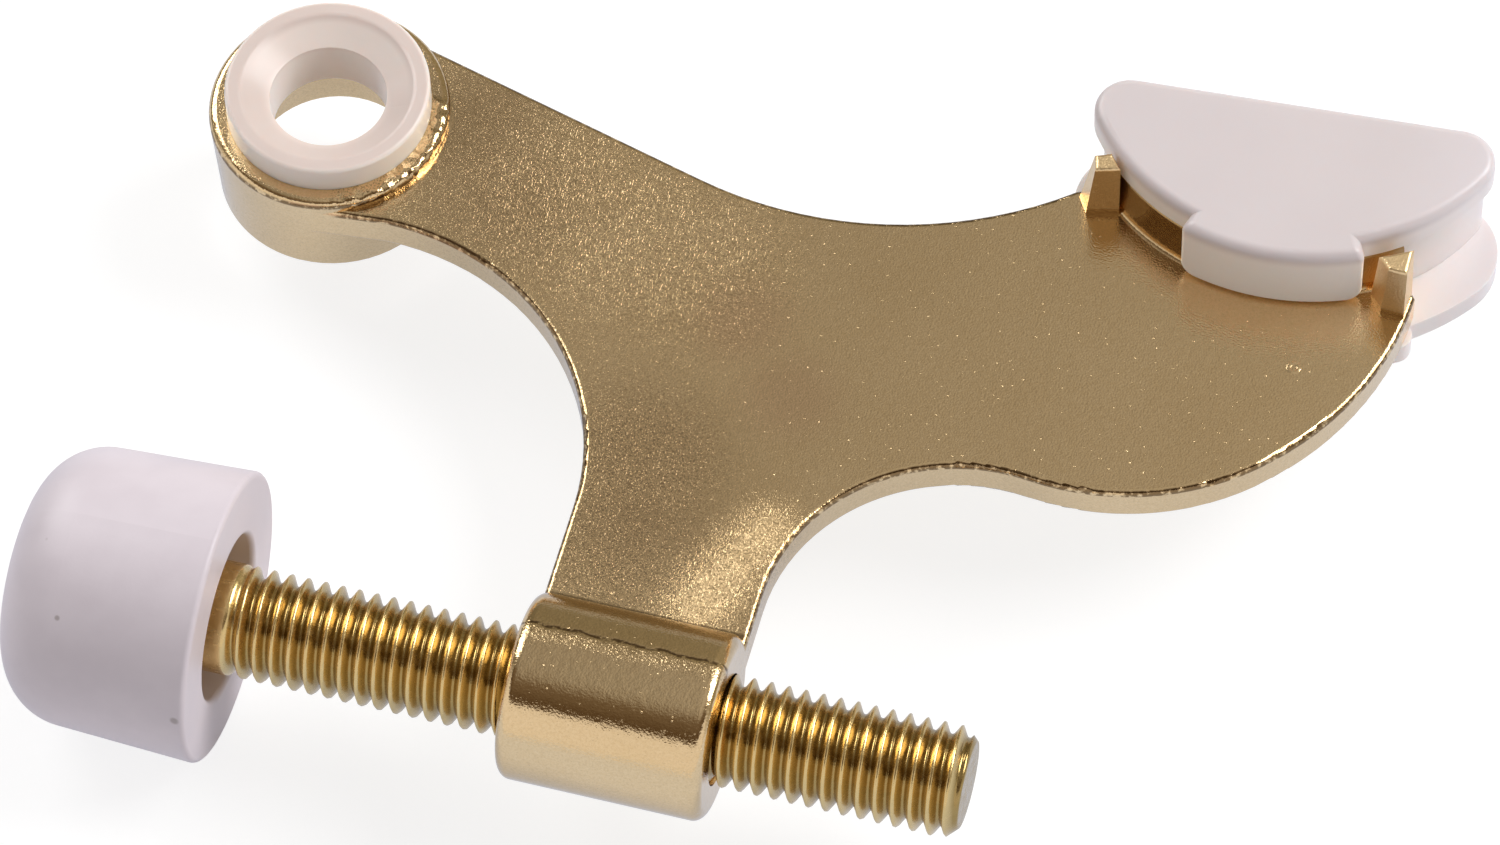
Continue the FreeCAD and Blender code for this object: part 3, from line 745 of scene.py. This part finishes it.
# %% [markdown]
# Milky nylon.
#
# Light goes into unfilled nylon and comes out warm, so the bush glows peach inside its brass eye and the pad turns
# lilac towards its free end. Faces that the lamps don't reach still look light, because light comes to them through
# the nylon. Subsurface scattering softens the surface, but the brass close behind would swallow light that went
# deep, so it is kept shallow, and the rest is painted light: a lighter tint painted on those faces. A glass shader
# with a cloudy volume would be truer, but slow and noisy.

# %% The nylon
# The lighter bush and pad tints are painted light: a brighter colour on faces the lamps don't reach.
BUSH_PAINTED_GLOW, BUSH_TOP = (0.95, 0.850, 0.790), (0.755, 0.645, 0.595)
BUSH_RIM = (7.15 * MM, 7.45 * MM)
BUSH_HOLE = (4.0 * MM, 3.0 * MM)
DISH_BACK = (-1.0 * MM, 5.0 * MM)
DISH_FALL = (4.75 * MM, 4.4 * MM)
DISH_GLOW_SHARE = 0.8
# Painted light: the pad's sides and tab get the lighter tint.
PAD_PAINTED_GLOW, PAD_TOP = (0.96, 0.885, 0.865), (0.715, 0.650, 0.650)
PAD_SIDES = (7.3 * MM, 6.2 * MM)
LILAC_END, LILAC = (76.0 * MM, 92.0 * MM), (0.80, 0.755, 0.790)
SCATTER = 0.3 * MM
SCATTER_TINT = (1.0, 0.85, 0.80)
HAZE_MM, HAZE_CUT, HAZE_SHARE = 6.0, (0.2, 0.8), 0.1
NYLON_ROUGHNESS = (0.28, 0.34)
NYLON_GRAIN_MM, NYLON_DEPTH_MM = 1.2, 0.004


def milky(name, glow_tint, top, glow_faces_of):
    """Nylon with a painted-light tint on faces the lamps don't reach, for light come through it, and another on
    top.
    """
    material, tree, shader, place = new_finish(name)
    shader.inputs["Subsurface Weight"].default_value = 1.0
    shader.inputs["Subsurface Radius"].default_value = SCATTER_TINT
    shader.inputs["Subsurface Scale"].default_value = SCATTER
    axes = add(tree, "ShaderNodeSeparateXYZ", {"Vector": place}).outputs
    haze = grain(tree, place, HAZE_MM, 1.0)
    painted_glow_mix = total(tree, (glow_faces_of(tree, place, axes), 1.0 - HAZE_SHARE), (haze, HAZE_SHARE))
    # Painted light: the lighter tint where the mask says light would come through the nylon.
    tint = blended(tree, painted_glow_mix, top, glow_tint)
    tree.links.new(blended(tree, ramp(tree, axes["X"], *LILAC_END), tint, LILAC), shader.inputs["Base Color"])
    shine = ramp(tree, haze, *HAZE_CUT, *NYLON_ROUGHNESS, smooth=False)
    tree.links.new(shine, shader.inputs["Roughness"])
    emboss(tree, shader, grain(tree, place, NYLON_GRAIN_MM), NYLON_DEPTH_MM)
    return material


def bush_painted_glow_mask(tree, place, axes):
    """Painted light: 1 in the bush's hole and on its outside, less at the back of its dish, 0 on the rest of its
    rim.
    """
    out = add(tree, "ShaderNodeVectorMath", {0: in_plan(tree, place)}, operation="LENGTH").outputs["Value"]
    painted_glow_faces = sums(tree, "MAXIMUM", ramp(tree, out, *BUSH_RIM), ramp(tree, axes["Z"], *BUSH_HOLE))
    # The back of the dish is in shade, so it gets part of the painted light too.
    back = overlap(tree, ramp(tree, axes["Y"], *DISH_BACK), ramp(tree, axes["Z"], *DISH_FALL))
    return sums(tree, "MAXIMUM", painted_glow_faces, sums(tree, "MULTIPLY", back, DISH_GLOW_SHARE))


def pad_painted_glow_mask(tree, place, axes):
    """Painted light: 1 on the pad's sides and tab, 0 on its top."""
    return ramp(tree, axes["Z"], *PAD_SIDES)


nodes["hinge_bush"].data.materials[0] = milky("bush_nylon", BUSH_PAINTED_GLOW, BUSH_TOP, bush_painted_glow_mask)
nodes["swivel_pad"].data.materials[0] = milky("pad_nylon", PAD_PAINTED_GLOW, PAD_TOP, pad_painted_glow_mask)
print("nylon on", nodes["hinge_bush"].name, "and", nodes["swivel_pad"].name)
